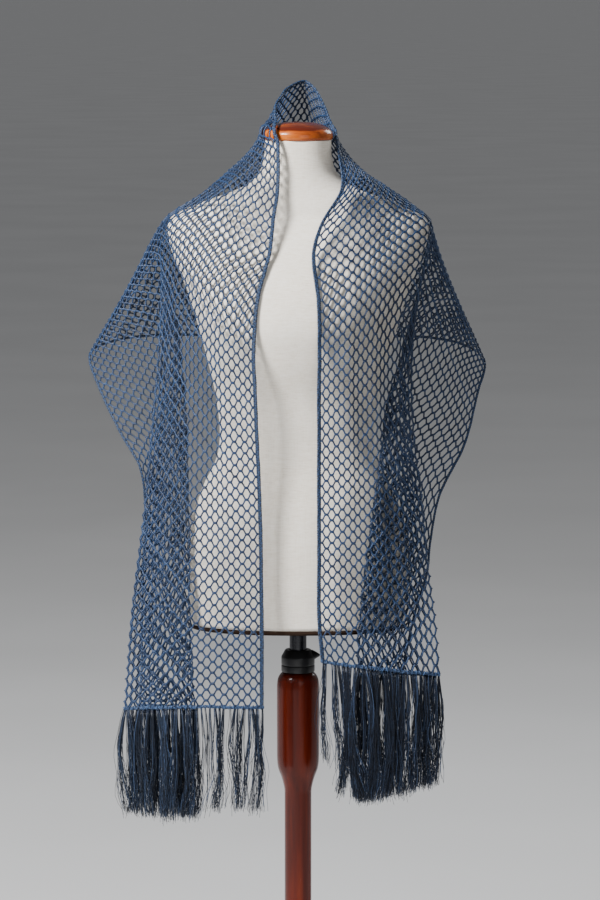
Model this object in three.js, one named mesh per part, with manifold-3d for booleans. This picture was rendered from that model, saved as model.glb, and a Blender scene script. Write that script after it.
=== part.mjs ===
// A net shawl with fringed ends, draped over a limbless dress form on a turned wooden stand.
// Millimetres, +Z up, the wearer's front towards -Y. The origin is the centre of the base's underside.
import * as THREE from 'three';
import { mergeVertices } from 'three/addons/utils/BufferGeometryUtils.js';
import Module from 'manifold-3d';

const wasm = await Module();
wasm.setup();

// ---- Driving dimensions ----------------------------------------------------
const HEMS = { right: -953, left: 1036 };   // s of the two ends of the cloth
const WALL = 1.6;                 // net thickness at the knots
const SEAM_GAP = 0.3;             // between neighbouring stretches
const RUNNING_GAP = 0.3;          // between hard pieces

const BASE = { radius: 175, edge: 12, thickness: 26, hubRadius: 42, hubTop: 46 };
const POLE = { radius: 20.5, gripRadius: 32.2, gripBottom: 481, gripFull: 506, gripShoulder: 642, top: 650 };
const TUBE = { radius: 13, bottom: 370, top: 850 };
const BORE = { radius: TUBE.radius + RUNNING_GAP, bottom: 330, overrun: 5 };
const COLLAR = { radius: 25.5, waist: 661, shoulder: 673, top: 684, topRadius: 19.5 };
const LEVER = { z: 675, from: 16, reach: 34, rootRadius: 8.5, neckRadius: 5.2, tipRadius: 1.6 };
const RIM = { bottom: 721, top: 727.7, ease: 1.5, undersize: 0.99, proud: 1.004 };
const NECK = { radius: 51, capRadius: 52.5, capBottom: 1457, capTop: 1484 };
const SIDES = { bore: 24, cap: 36, tube: 20, lever: 12, pole: 32, base: 40 };   // of the turned pieces

// ---- Dress form: a row for each level --------------------------------------
// z, half width, depth to the front, depth to the back
const FORM_LEVELS = [
  { z: 728, half: 166, front: 96, back: 112 },
  { z: 777, half: 171, front: 99, back: 116 },
  { z: 838, half: 171, front: 100, back: 117 },
  { z: 900, half: 159, front: 97, back: 110 },
  { z: 935, half: 144, front: 93, back: 100 },
  { z: 972, half: 125, front: 88, back: 88 },
  { z: 1012, half: 118, front: 87, back: 78 },
  { z: 1072, half: 124, front: 93, back: 76 },
  { z: 1138, half: 139, front: 114, back: 80 },
  { z: 1185, half: 152, front: 125, back: 84 },
  { z: 1231, half: 166, front: 119, back: 87 },
  { z: 1275, half: 184, front: 100, back: 86 },
  { z: 1310, half: 195, front: 78, back: 76 },
  { z: 1332, half: 196, front: 64, back: 66 },
  { z: 1345, half: 185, front: 58, back: 61 },
  { z: 1362, half: 148, front: 55, back: 58 },
  { z: 1383, half: 90, front: 52, back: 56 },
  { z: 1404, half: 61, front: 50, back: 54 },
  { z: 1430, half: 51, front: 49, back: 52 },
  { z: 1456.7, half: 50, front: 49, back: 51 },
];

const FORM_SIDES = 38;
const FORM_POWER = 2.3;            // 2 is an ellipse; more is squarer

// ---- Shawl: a row for each fold station ------------------------------------
// s is the length along the inner selvedge from the middle of the back. inner and outer are the two
// selvedges, panel lies half way to the first fold, fold1 is the outer front fold and fold2 the fold
// behind it, whose place across the width is at2. Each place is [x, y, z].
const BACK_ROW = { s: 0, inner: [10, 92, 1545], panel: [8, 98, 1446], fold1: [5, 105, 1346],
  fold2: [3, 109, 1298], at2: 0.62, outer: [0, 118, 1146] };
const LEFT_ROWS = [
  { s: 36, inner: [-14, 66, 1536], panel: [-24, 84, 1440], fold1: [-29, 96, 1342],
    fold2: [-31, 101, 1295], at2: 0.62, outer: [-34, 116, 1147] },
  { s: 70, inner: [-24, 35, 1524], panel: [-50, 62, 1435], fold1: [-60, 84, 1342],
    fold2: [-63, 91, 1295], at2: 0.62, outer: [-68, 114, 1148] },
  { s: 112, inner: [-33, 0, 1505], panel: [-74, 30, 1430], fold1: [-96, 66, 1345],
    fold2: [-101, 78, 1298], at2: 0.62, outer: [-108, 112, 1150] },
  { s: 182, inner: [-28, -52, 1458], panel: [-96, 6, 1424], fold1: [-142, 44, 1358],
    fold2: [-155, 60, 1310], at2: 0.62, outer: [-172, 108, 1151] },
  { s: 254, inner: [-28, -66, 1387], panel: [-104, -50, 1399], fold1: [-166, 9, 1362],
    fold2: [-193, 34, 1318], at2: 0.62, outer: [-238, 97, 1150] },
  { s: 303, inner: [-34, -82, 1341], panel: [-125, -62, 1358], fold1: [-203, 2, 1336],
    fold2: [-224, 16, 1297], at2: 0.62, outer: [-290, 84, 1142] },
  { s: 355, inner: [-39, -98, 1295], panel: [-136, -80, 1310], fold1: [-206, -3, 1308],
    fold2: [-218, 9, 1290], at2: 0.56, outer: [-319, 60, 1125] },
  { s: 423, inner: [-55, -115, 1233], panel: [-144, -98, 1247], fold1: [-208, -8, 1254],
    fold2: [-193, 11, 1243], at2: 0.57, outer: [-301, 38, 1072] },
  { s: 502, inner: [-63, -122, 1155], panel: [-150, -102, 1165], fold1: [-212, -14, 1174],
    fold2: [-175, 10, 1160], at2: 0.61, outer: [-270, 14, 1010] },
  { s: 560, inner: [-61, -124, 1097], panel: [-148, -104, 1101], fold1: [-217, -22, 1105],
    fold2: [-168, 5, 1090], at2: 0.64, outer: [-241, 0, 962] },
  { s: 640, inner: [-58, -123, 1017], panel: [-148, -106, 1020], fold1: [-225, -33, 1020],
    fold2: [-163, -8, 1010], at2: 0.665, outer: [-233, 0, 900] },
  { s: 726, inner: [-54, -122, 931], panel: [-148, -112, 931], fold1: [-234, -47, 925],
    fold2: [-160, -40, 915], at2: 0.69, outer: [-236, 2, 830] },
  { s: 820, inner: [-52, -121, 837], panel: [-148, -116, 833], fold1: [-246, -58, 828],
    fold2: [-158, -62, 820], at2: 0.72, outer: [-239, 2, 748] },
  { s: 909, inner: [-51, -120, 748], panel: [-151, -116, 741], fold1: [-257, -68, 735],
    fold2: [-156, -70, 728], at2: 0.75, outer: [-240, -4, 672] },
  { s: 1036, inner: [-51, -118, 618], panel: [-154, -112, 618], fold1: [-267, -78, 609],
    fold2: [-150, -68, 608], at2: 0.785, outer: [-243, -22, 603] },
];
const RIGHT_ROWS = [
  { s: 25, inner: [26, 78, 1533], panel: [21, 92, 1442], fold1: [18, 102, 1345],
    fold2: [18, 106, 1297], at2: 0.62, outer: [22, 117, 1147] },
  { s: 60, inner: [39, 50, 1509], panel: [43, 76, 1427], fold1: [48, 93, 1340],
    fold2: [50, 98, 1294], at2: 0.62, outer: [54, 115, 1148] },
  { s: 116, inner: [50, 10, 1477], panel: [76, 36, 1418], fold1: [90, 70, 1341],
    fold2: [94, 81, 1296], at2: 0.62, outer: [102, 112, 1149] },
  { s: 170, inner: [61, -20, 1434], panel: [96, 8, 1420], fold1: [128, 48, 1356],
    fold2: [136, 63, 1308], at2: 0.62, outer: [150, 108, 1149] },
  { s: 230, inner: [64, -56, 1387], panel: [110, -36, 1403], fold1: [150, 12, 1374],
    fold2: [178, 38, 1322], at2: 0.62, outer: [206, 98, 1147] },
  { s: 295, inner: [34, -84, 1337], panel: [116, -64, 1360], fold1: [196, 2, 1338],
    fold2: [208, 17, 1298], at2: 0.62, outer: [256, 83, 1137] },
  { s: 350, inner: [20, -103, 1292], panel: [118, -86, 1307], fold1: [196, -3, 1312],
    fold2: [203, 9, 1292], at2: 0.56, outer: [285, 60, 1117] },
  { s: 420, inner: [27, -118, 1226], panel: [118, -112, 1240], fold1: [189, -6, 1262],
    fold2: [184, 13, 1250], at2: 0.56, outer: [274, 38, 1068] },
  { s: 500, inner: [29, -124, 1146], panel: [112, -118, 1152], fold1: [176, -17, 1160],
    fold2: [157, 9, 1150], at2: 0.59, outer: [254, 24, 992] },
  { s: 578, inner: [28.5, -124, 1068], panel: [112, -114, 1070], fold1: [176, -28, 1070],
    fold2: [129, -8, 1060], at2: 0.64, outer: [216, 4, 916] },
  { s: 640, inner: [28.5, -123, 1006], panel: [112, -112, 1004], fold1: [181, -37, 1000],
    fold2: [120, -40, 995], at2: 0.66, outer: [203, 0, 852] },
  { s: 715, inner: [28.5, -122, 931], panel: [114, -114, 928], fold1: [191, -48, 925],
    fold2: [107, -82, 915], at2: 0.7, outer: [198, 0, 800] },
  { s: 820, inner: [28.5, -121, 827], panel: [118, -118, 824], fold1: [201, -60, 820],
    fold2: [93, -98, 812], at2: 0.76, outer: [182, -24, 752] },
  { s: 900, inner: [29, -120, 744], panel: [119, -118, 736], fold1: [213, -70, 730],
    fold2: [84, -98, 722], at2: 0.8, outer: [168, -38, 694] },
  { s: 953, inner: [34, -118, 688], panel: [122, -113, 674], fold1: [218, -75, 660],
    fold2: [82, -90, 664], at2: 0.81, outer: [160, -50, 662] },
];
const FOLD1_AT = 0.5;
const PANEL_AT = 0.25;
const FOLD_SOFTNESS = 0.022;      // half of the width that a fold turns in, as a share of the cloth
const PANEL_SOFTNESS = 0.16;      // the same away from the folds
const SOFTENING = 0.8;            // how fast the one grows into the other with the distance to a fold

// How far the cloth lies off the form, and how much further for each layer folded under it.
const CLEAR = { form: 3.0, layer: 7, blend: 2.2, far: 26.4, foldsFrom: 380, foldsFull: 460 };
// Where the layers under it begin and end, as shares of the width from the folds.
const UNDER = { start: -0.05, full: 0.02, turn: 0.01 };

// ---- Stretches of cloth, in the order that they are wrapped ----------------
const STRETCHES = [
  { name: 'shawl_front_right', from: HEMS.right, to: -385, rows: 14 },
  { name: 'shawl_shoulder_right', from: -385, to: -110, rows: 11 },
  { name: 'shawl_back', from: -110, to: 110, rows: 7 },
  { name: 'shawl_shoulder_left', from: 110, to: 395, rows: 12 },
  { name: 'shawl_front_left', from: 395, to: HEMS.left, rows: 15 },
];
// Places across the width: fixed to just past the first fold, close about the second, and even beyond it.
const ACROSS = [0, 0.06, 0.13, 0.2, 0.27, 0.34, 0.41, 0.46, 0.485, 0.5, 0.515, 0.54];
const NEAR_FOLD2 = [-0.04, -0.018, 0, 0.018, 0.04];
const BEYOND_FOLD2 = { from: 0.06, steps: 9 };
const LEAST_STEP = 0.0025;

// ---- Fringe: locks of cut yarn knotted along each end, with their lengths across the width ----
const FRINGE = {
  gap: 0.6, stripHeight: 3, stripWall: 2, locks: 36, rootDepth: 0.6, rings: 3,
  rootWidth: 4.2, tipWidth: 2.4, thickness: 2.2, rootFullness: 0.9, tipFullness: 0.6, uneven: 4,
};
const FRINGE_ENDS = [
  { name: 'fringe_left', s: HEMS.left, along: 1, parting: { x: -97, width: 12, reach: 22 },
    lengths: [{ v: 0, length: 157 }, { v: 0.14, length: 152 }, { v: 0.3, length: 168 },
      { v: 0.5, length: 158 }, { v: 0.8, length: 164 }, { v: 1, length: 150 }] },
  { name: 'fringe_right', s: HEMS.right, along: -1, parting: { x: 60, width: 8, reach: 20 },
    lengths: [{ v: 0, length: 148 }, { v: 0.07, length: 154 }, { v: 0.12, length: 196 },
      { v: 0.28, length: 196 }, { v: 0.42, length: 172 }, { v: 0.5, length: 166 },
      { v: 0.8, length: 190 }, { v: 1, length: 176 }] },
];

// ---- Materials -------------------------------------------------------------
const finish = (color, roughness, metalness = 0) => ({ color, roughness, metalness });
const FINISHES = {
  net: finish(0x45618f, 0.75),
  fringe: finish(0x22335c, 0.45),
  linen: finish(0xd9d3c4, 0.95),
  wood: finish(0x7d2c12, 0.28),
  cap: finish(0xa6470f, 0.25),
  board: finish(0x3a2418, 0.7),
  steel: finish(0x8d9096, 0.3, 1),
  plastic: finish(0x121212, 0.4),
};

// ---- Helpers ---------------------------------------------------------------
const lerp = (a, b, t) => a + (b - a) * t;
const clamp = (x, low, high) => Math.min(high, Math.max(low, x));

// A smooth value through rows of unequal spacing; key names the column that the rows run along.
function smoothAt(rows, key, at, value) {
  const last = rows.length - 1;
  let i = rows.findIndex((row) => row[key] >= at) - 1;
  i = clamp(i < -1 ? last - 1 : i, 0, last - 1);
  const [r0, r1] = [rows[i], rows[i + 1]];
  const span = r1[key] - r0[key];
  const t = clamp((at - r0[key]) / span, 0, 1);
  const slope = (j) => {
    const [a, b] = [rows[Math.max(j - 1, 0)], rows[Math.min(j + 1, last)]];
    return (value(b) - value(a)) / (b[key] - a[key]);
  };
  const [t2, t3] = [t * t, t * t * t];
  return (2 * t3 - 3 * t2 + 1) * value(r0) + (t3 - 2 * t2 + t) * span * slope(i)
    + (3 * t2 - 2 * t3) * value(r1) + (t3 - t2) * span * slope(i + 1);
}

// A closed body from rings of equal length, with a flat fan at each end.
function loftBody(rings) {
  const size = rings[0].length;
  const positions = rings.flat(2);
  const index = [];
  for (let i = 0; i + 1 < rings.length; i += 1) {
    for (let j = 0; j < size; j += 1) {
      const [a, b] = [i * size + j, i * size + ((j + 1) % size)];
      index.push(a, b, b + size, a, b + size, a + size);
    }
  }
  const end = (rings.length - 1) * size;
  for (let j = 1; j + 1 < size; j += 1) {
    index.push(0, j + 1, j);
    index.push(end, end + j, end + j + 1);
  }
  return bodyGeometry(positions, index);
}

function bodyGeometry(positions, index) {
  const geometry = new THREE.BufferGeometry();
  geometry.setAttribute('position', new THREE.Float32BufferAttribute(positions, 3));
  geometry.setIndex(index);
  return geometry;
}

// Turns every face round if the body is inside out.
function outward(geometry) {
  const at = geometry.attributes.position;
  const corner = [0, 1, 2].map(() => new THREE.Vector3());
  const index = geometry.index.array;
  let volume = 0;
  for (let i = 0; i < index.length; i += 3) {
    corner.forEach((point, k) => point.fromBufferAttribute(at, index[i + k]));
    volume += corner[0].dot(corner[1].clone().cross(corner[2]));
  }
  if (volume < 0) index.reverse();
  return geometry;
}

function toManifold(geometry) {
  const bare = geometry.clone();
  bare.deleteAttribute('normal');
  bare.deleteAttribute('uv');
  const merged = mergeVertices(bare, 1e-4);
  return new wasm.Manifold(new wasm.Mesh({
    numProp: 3,
    vertProperties: new Float32Array(merged.attributes.position.array),
    triVerts: new Uint32Array(merged.index.array),
  }));
}

function fromManifold(solid) {
  const mesh = solid.getMesh();
  return bodyGeometry(Array.from(mesh.vertProperties), Array.from(mesh.triVerts));
}

// ---- Dress form ------------------------------------------------------------
function sectionAt(levels, z) {
  const level = (column) => smoothAt(levels, 'z', z, (row) => row[column]);
  return { half: level('half'), front: level('front'), back: level('back') };
}

function formRing(z, sides) {
  const { half, front, back } = sectionAt(FORM_LEVELS, z);
  return Array.from({ length: sides }, (_, i) => {
    const angle = (i / sides) * 2 * Math.PI;
    const [c, s] = [Math.cos(angle), Math.sin(angle)];
    const squared = (value) => Math.sign(value) * Math.abs(value) ** (2 / FORM_POWER);
    return [half * squared(c), (s < 0 ? front : back) * squared(s), z];
  });
}

function torsoGeometry() {
  const body = toManifold(loftBody(FORM_LEVELS.map((row) => formRing(row.z, FORM_SIDES))));
  const socket = boreGeometry(RIM.bottom, TUBE.top + RUNNING_GAP);
  return fromManifold(body.subtract(toManifold(socket)));
}

// ---- Shawl surface ---------------------------------------------------------
function shawlRow(s) {
  const rows = [BACK_ROW, ...(s < 0 ? RIGHT_ROWS : LEFT_ROWS)];
  const mirrored = (s < 0 ? LEFT_ROWS : RIGHT_ROWS).slice(0, 1).map((row) => ({ ...row, s: -row.s }));
  const place = (column) => [0, 1, 2].map((axis) => (
    smoothAt([...mirrored, ...rows], 's', Math.abs(s), (row) => row[column][axis])));
  const at2 = smoothAt(rows, 's', Math.abs(s), (row) => row.at2);
  return [
    { v: 0, at: place('inner') },
    { v: PANEL_AT, at: place('panel') },
    { v: FOLD1_AT, at: place('fold1') },
    { v: at2, at: place('fold2') },
    { v: 1, at: place('outer') },
  ];
}

function alongRow(row, v) {
  const i = clamp(row.findIndex((corner) => corner.v >= v) - 1, 0, row.length - 2);
  const t = (v - row[i].v) / (row[i + 1].v - row[i].v);
  return [0, 1, 2].map((axis) => lerp(row[i].at[axis], row[i + 1].at[axis], t));
}

// The form with its neck cap, as the cloth meets it.
const roundLevel = (z, radius) => ({ z, half: radius, front: radius, back: radius });
const DRAPED_LEVELS = [...FORM_LEVELS.slice(0, -1), roundLevel(1456, 53), roundLevel(1470, 53.5),
  roundLevel(1479, 45), roundLevel(1486, 27)];

function formValue(x, y, z) {
  const level = clamp(z, DRAPED_LEVELS[0].z, DRAPED_LEVELS.at(-1).z);
  const { half, front, back } = sectionAt(DRAPED_LEVELS, level);
  const across = Math.abs(x / half) ** FORM_POWER;
  const deep = Math.abs(y / (y < 0 ? front : back)) ** FORM_POWER;
  return (across + deep) ** (1 / FORM_POWER) - 1;
}

// Layers folded under the cloth at a place across its width.
function layersUnder(v, at2, s) {
  const overlap = at2 - FOLD1_AT;
  const stops = [
    { v: FOLD1_AT - overlap + UNDER.start, layers: 0 },
    { v: FOLD1_AT - overlap + UNDER.full, layers: 2 },
    { v: FOLD1_AT - UNDER.turn, layers: 2 },
    { v: FOLD1_AT + UNDER.turn, layers: 1 },
    { v: at2 - UNDER.turn, layers: 1 },
    { v: at2 + UNDER.turn, layers: 0 },
  ];
  const i = clamp(stops.findIndex((stop) => stop.v >= v) - 1, 0, stops.length - 2);
  const t = clamp((v - stops[i].v) / (stops[i + 1].v - stops[i].v), 0, 1);
  const folded = clamp((Math.abs(s) - CLEAR.foldsFrom) / (CLEAR.foldsFull - CLEAR.foldsFrom), 0, 1);
  const layers = v > stops.at(-1).v ? 0 : lerp(stops[i].layers, stops[i + 1].layers, t);
  return layers * folded;
}

// Moves a point out along the form's own normal until it is clear of it.
function clearOfForm([x, y, z], margin) {
  const step = 0.5;
  const value = formValue(x, y, z);
  const slope = new THREE.Vector3(
    formValue(x + step, y, z) - value,
    formValue(x, y + step, z) - value,
    formValue(x, y, z + step) - value,
  ).divideScalar(step);
  const short = margin - value / slope.length();
  const push = (short + Math.hypot(short, CLEAR.blend)) / 2;
  if (short < -CLEAR.far) return [x, y, z];
  slope.normalize().multiplyScalar(push);
  return [x + slope.x, y + slope.y, z + slope.z];
}

// The row's straight runs with its corners turned softly: an even average over a short width.
function shawlPoint(s, v) {
  const row = shawlRow(s);
  const toFold = Math.min(Math.abs(v - FOLD1_AT), Math.abs(v - row[3].v));
  const half = Math.min(FOLD_SOFTNESS + SOFTENING * toFold, PANEL_SOFTNESS, v, 1 - v);
  const samples = 9;
  const sum = [0, 0, 0];
  for (let k = 0; k < samples; k += 1) {
    const point = alongRow(row, v + half * ((2 * k) / (samples - 1) - 1));
    point.forEach((value, axis) => { sum[axis] += value / samples; });
  }
  const margin = CLEAR.form + CLEAR.layer * layersUnder(v, row[3].v, s);
  return new THREE.Vector3(...clearOfForm(sum, margin));
}

function shawlNormal(s, v) {
  const [ds, dv] = [1.5, 0.004];
  const along = shawlPoint(s + ds, v).sub(shawlPoint(s - ds, v));
  const across = shawlPoint(s, Math.min(1, v + dv)).sub(shawlPoint(s, Math.max(0, v - dv)));
  return along.cross(across).normalize();
}

function acrossSteps(s) {
  const at2 = shawlRow(s)[3].v;
  const lastFixed = ACROSS.at(-1);
  const middle = (lastFixed + at2 + NEAR_FOLD2[0]) / 2;
  const beyond = Array.from({ length: BEYOND_FOLD2.steps }, (_, k) => (
    lerp(at2 + BEYOND_FOLD2.from, 1, k / (BEYOND_FOLD2.steps - 1))));
  const free = [middle, ...NEAR_FOLD2.map((dv) => at2 + dv), ...beyond];
  return [...ACROSS, ...free.map((v, k) => Math.max(v, lastFixed + LEAST_STEP * (k + 1)))];
}

function stretchGeometry({ from, to, rows }) {
  const first = from > HEMS.right ? from + SEAM_GAP / 2 : from;
  const last = to < HEMS.left ? to - SEAM_GAP / 2 : to;
  const rings = [];
  for (let i = 0; i <= rows; i += 1) {
    const s = lerp(first, last, i / rows);
    const steps = acrossSteps(s);
    const centre = steps.map((v) => shawlPoint(s, v));
    const normal = steps.map((v) => shawlNormal(s, v).multiplyScalar(WALL / 2));
    const outside = centre.map((point, k) => point.clone().add(normal[k]).toArray());
    const inside = centre.map((point, k) => point.clone().sub(normal[k]).toArray());
    rings.push([...outside, ...inside.reverse()]);
  }
  return stripBody(rings);
}

// A closed body from rings that are thin flat strips: each end is closed by a ladder of quads.
function stripBody(rings) {
  const size = rings[0].length;
  const positions = rings.flat(2);
  const index = [];
  for (let i = 0; i + 1 < rings.length; i += 1) {
    for (let j = 0; j < size; j += 1) {
      const [a, b] = [i * size + j, i * size + ((j + 1) % size)];
      index.push(a, b + size, b, a, a + size, b + size);
    }
  }
  const end = (rings.length - 1) * size;
  for (let j = 0; j + 1 < size / 2; j += 1) {
    const [a, b, c, d] = [j, j + 1, size - 2 - j, size - 1 - j];
    index.push(a, b, c, a, c, d);
    index.push(end + a, end + c, end + b, end + a, end + d, end + c);
  }
  return bodyGeometry(positions, index);
}

// ---- Fringe ----------------------------------------------------------------
// A place on the end of the cloth, with its directions across, through and down.
function hemFrame({ s, along }, v) {
  const at = shawlPoint(s, v);
  const down = at.clone().sub(shawlPoint(s - along * 6, v)).normalize();
  const through = shawlNormal(s, v);
  const across = new THREE.Vector3().crossVectors(down, through).normalize();
  return { at, down, through, across };
}

function hemStrip(end) {
  const { gap, stripHeight, stripWall } = FRINGE;
  const corners = [[gap, -1], [gap, 1], [gap + stripHeight, 1], [gap + stripHeight, -1]];
  const rings = acrossSteps(end.s).map((v) => {
    const { at, down, through } = hemFrame(end, v);
    return corners.map(([drop, side]) => at.clone().addScaledVector(down, drop)
      .addScaledVector(through, (side * stripWall) / 2).toArray());
  });
  return outward(loftBody(rings));
}

// One lock: four-sided, tapering, hanging from inside the strip and drawn to its side of the parting.
function lockGeometry(end, number) {
  const v = (number + 0.5) / FRINGE.locks;
  const { at, down, through, across } = hemFrame(end, v);
  const uneven = Math.sin(number * 2.4) + 0.6 * Math.sin(number * 5.3 + 1);
  const length = smoothAt(end.lengths, 'v', v, (row) => row.length) + FRINGE.uneven * uneven;
  const { x, width, reach } = end.parting;
  const aside = Math.sign(at.x - x) * (width / 2) * Math.exp(-Math.abs(at.x - x) / reach);
  const root = at.clone().addScaledVector(down, FRINGE.gap + FRINGE.stripHeight * FRINGE.rootDepth);
  const rings = Array.from({ length: FRINGE.rings }, (_, i) => {
    const t = i / (FRINGE.rings - 1);
    const centre = root.clone();
    centre.z -= length * t;
    centre.x += aside * t * t;
    const half = lerp(FRINGE.rootWidth, FRINGE.tipWidth, t) / 2;
    const deep = (FRINGE.thickness / 2) * lerp(FRINGE.rootFullness, FRINGE.tipFullness, t);
    return [[-1, -1], [1, -1], [1, 1], [-1, 1]].map(([p, q]) => centre.clone()
      .addScaledVector(across, p * half).addScaledVector(through, q * deep).toArray());
  });
  return outward(loftBody(rings));
}

function fringeGeometry(end) {
  let solid = toManifold(hemStrip(end));
  for (let number = 0; number < FRINGE.locks; number += 1) {
    solid = solid.add(toManifold(lockGeometry(end, number)));
  }
  const bodies = solid.decompose().sort((a, b) => b.volume() - a.volume());
  return fromManifold(bodies[0]);
}

// ---- Stand -----------------------------------------------------------------
// A turned body about Z from [radius, height] points that start and end on the axis or close on themselves.
function latheGeometry(profile, sides) {
  const geometry = new THREE.LatheGeometry(profile.map(([r, z]) => new THREE.Vector2(r, z)), sides);
  geometry.rotateX(Math.PI / 2);
  return outward(geometry);
}

// The room that the tube needs between two heights.
function boreGeometry(bottom, top) {
  return latheGeometry([[0, bottom], [BORE.radius, bottom], [BORE.radius, top], [0, top]], SIDES.bore);
}

const neckCapGeometry = () => latheGeometry([
  [0, NECK.capBottom], [NECK.radius, NECK.capBottom], [NECK.capRadius, NECK.capBottom + 4],
  [NECK.capRadius - 0.4, NECK.capBottom + 10], [NECK.capRadius - 3, NECK.capBottom + 14.5],
  [NECK.capRadius - 8, NECK.capBottom + 18.5], [NECK.capRadius - 16, NECK.capBottom + 22.5],
  [NECK.capRadius - 28, NECK.capTop - 1.5], [0, NECK.capTop],
], SIDES.cap);

function rimBoardGeometry() {
  const outline = formRing(FORM_LEVELS[0].z, FORM_SIDES);
  const ring = (z, grow) => outline.map(([x, y]) => [x * grow, y * grow, z]);
  const board = toManifold(loftBody([
    ring(RIM.bottom, RIM.undersize), ring(RIM.bottom + RIM.ease, RIM.proud), ring(RIM.top, RIM.proud),
  ]));
  const hole = boreGeometry(RIM.bottom - BORE.overrun, RIM.top + BORE.overrun);
  return fromManifold(board.subtract(toManifold(hole)));
}

const tubeGeometry = () => latheGeometry([
  [0, TUBE.bottom], [TUBE.radius, TUBE.bottom], [TUBE.radius, TUBE.top], [0, TUBE.top],
], SIDES.tube);

const collarGeometry = () => latheGeometry([
  [BORE.radius, POLE.top + RUNNING_GAP], [COLLAR.radius, POLE.top + RUNNING_GAP],
  [COLLAR.radius, COLLAR.waist - 1], [COLLAR.radius - 1, COLLAR.waist], [COLLAR.radius, COLLAR.waist + 1],
  [COLLAR.radius, COLLAR.shoulder], [COLLAR.topRadius, COLLAR.top], [BORE.radius, COLLAR.top],
  [BORE.radius, POLE.top + RUNNING_GAP],
], SIDES.bore);

// The lever is hollowed at its root to the collar's own outline.
function leverGeometry() {
  const lever = latheGeometry([
    [0, LEVER.from], [LEVER.rootRadius, LEVER.from], [LEVER.rootRadius - 0.5, LEVER.from + 6],
    [LEVER.neckRadius, LEVER.reach - 6.5], [LEVER.tipRadius, LEVER.reach - 1], [0, LEVER.reach],
  ], SIDES.lever);
  lever.rotateY(Math.PI / 2);
  lever.translate(0, 0, LEVER.z);
  const inside = latheGeometry([
    [0, POLE.top], [COLLAR.radius + RUNNING_GAP, POLE.top], [COLLAR.radius + RUNNING_GAP, COLLAR.shoulder],
    [COLLAR.topRadius + RUNNING_GAP, COLLAR.top + RUNNING_GAP], [0, COLLAR.top + RUNNING_GAP],
  ], SIDES.bore);
  return fromManifold(toManifold(lever).subtract(toManifold(inside)));
}

const poleGeometry = () => latheGeometry([
  [0, BASE.hubTop + RUNNING_GAP], [POLE.radius, BASE.hubTop + RUNNING_GAP],
  [POLE.radius, POLE.gripBottom - 12], [POLE.radius + 1.5, POLE.gripBottom],
  [POLE.gripRadius - 5, POLE.gripBottom + 9], [POLE.gripRadius - 1, POLE.gripFull - 4],
  [POLE.gripRadius, POLE.gripFull + 8], [POLE.gripRadius, POLE.gripShoulder - 8],
  [POLE.gripRadius - 1.5, POLE.gripShoulder], [POLE.gripRadius - 5, POLE.top - 2],
  [POLE.gripRadius - 8, POLE.top], [BORE.radius, POLE.top],
  [BORE.radius, BORE.bottom], [0, BORE.bottom],
], SIDES.pole);

const baseGeometry = () => latheGeometry([
  [0, 0], [BASE.radius - 3, 0], [BASE.radius, 3], [BASE.radius, BASE.edge],
  [BASE.radius - 5, BASE.edge + 6], [BASE.radius - 16, BASE.thickness - 5],
  [BASE.radius - 60, BASE.thickness], [BASE.hubRadius + 12, BASE.thickness + 3],
  [BASE.hubRadius, BASE.thickness + 10], [BASE.hubRadius, BASE.hubTop - 4],
  [BASE.hubRadius - 4, BASE.hubTop], [0, BASE.hubTop],
], SIDES.base);

// ---- The whole -------------------------------------------------------------
const group = new THREE.Group();

function addPiece(name, geometry, look) {
  const mesh = new THREE.Mesh(geometry, new THREE.MeshStandardMaterial(look));
  mesh.name = name;
  group.add(mesh);
}

STRETCHES.forEach((stretch) => addPiece(stretch.name, stretchGeometry(stretch), FINISHES.net));
FRINGE_ENDS.forEach((end) => addPiece(end.name, fringeGeometry(end), FINISHES.fringe));
addPiece('torso', torsoGeometry(), FINISHES.linen);
addPiece('neck_cap', neckCapGeometry(), FINISHES.cap);
addPiece('rim_board', rimBoardGeometry(), FINISHES.board);
addPiece('tube', tubeGeometry(), FINISHES.steel);
addPiece('lock_collar', collarGeometry(), FINISHES.plastic);
addPiece('lock_lever', leverGeometry(), FINISHES.plastic);
addPiece('pole', poleGeometry(), FINISHES.wood);
addPiece('base', baseGeometry(), FINISHES.wood);

export default group;
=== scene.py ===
"""A net shawl with fringed ends, draped on a limbless dress form that stands on a turned wooden pole.

Sizes are in millimetres until a mesh is made. Z is up and the form faces -Y. The cloth is worked out from
the same rows of folds as the frame's solids, and its net, selvedges, hems and fringe are real yarns on it.
"""
import math
from collections import namedtuple

import bpy
import numpy as np
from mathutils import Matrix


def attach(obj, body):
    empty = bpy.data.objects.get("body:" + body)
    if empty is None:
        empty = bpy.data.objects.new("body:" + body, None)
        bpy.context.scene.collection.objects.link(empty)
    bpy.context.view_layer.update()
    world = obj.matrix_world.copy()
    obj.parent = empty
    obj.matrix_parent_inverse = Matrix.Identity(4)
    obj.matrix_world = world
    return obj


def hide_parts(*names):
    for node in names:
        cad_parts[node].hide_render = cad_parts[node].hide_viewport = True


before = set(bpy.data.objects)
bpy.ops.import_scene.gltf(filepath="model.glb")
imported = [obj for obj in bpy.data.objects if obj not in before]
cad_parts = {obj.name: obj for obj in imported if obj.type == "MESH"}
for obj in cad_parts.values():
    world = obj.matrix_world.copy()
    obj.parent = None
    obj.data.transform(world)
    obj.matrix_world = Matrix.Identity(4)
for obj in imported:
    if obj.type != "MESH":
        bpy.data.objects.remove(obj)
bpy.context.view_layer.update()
scene = bpy.context.scene
MM = 0.001

# ---- Camera, as the picture was taken --------------------------------------
IMAGE_HEIGHT_PX = 900
FOCAL_PX = 3767                 # focal length in pixels of that frame
CAMERA_AT = (0.003, -5.65, 1.683)
CAMERA_PITCH_DEG = -7.0
SENSOR_MM = 24.0
CLIP_END_M = 3000

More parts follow.
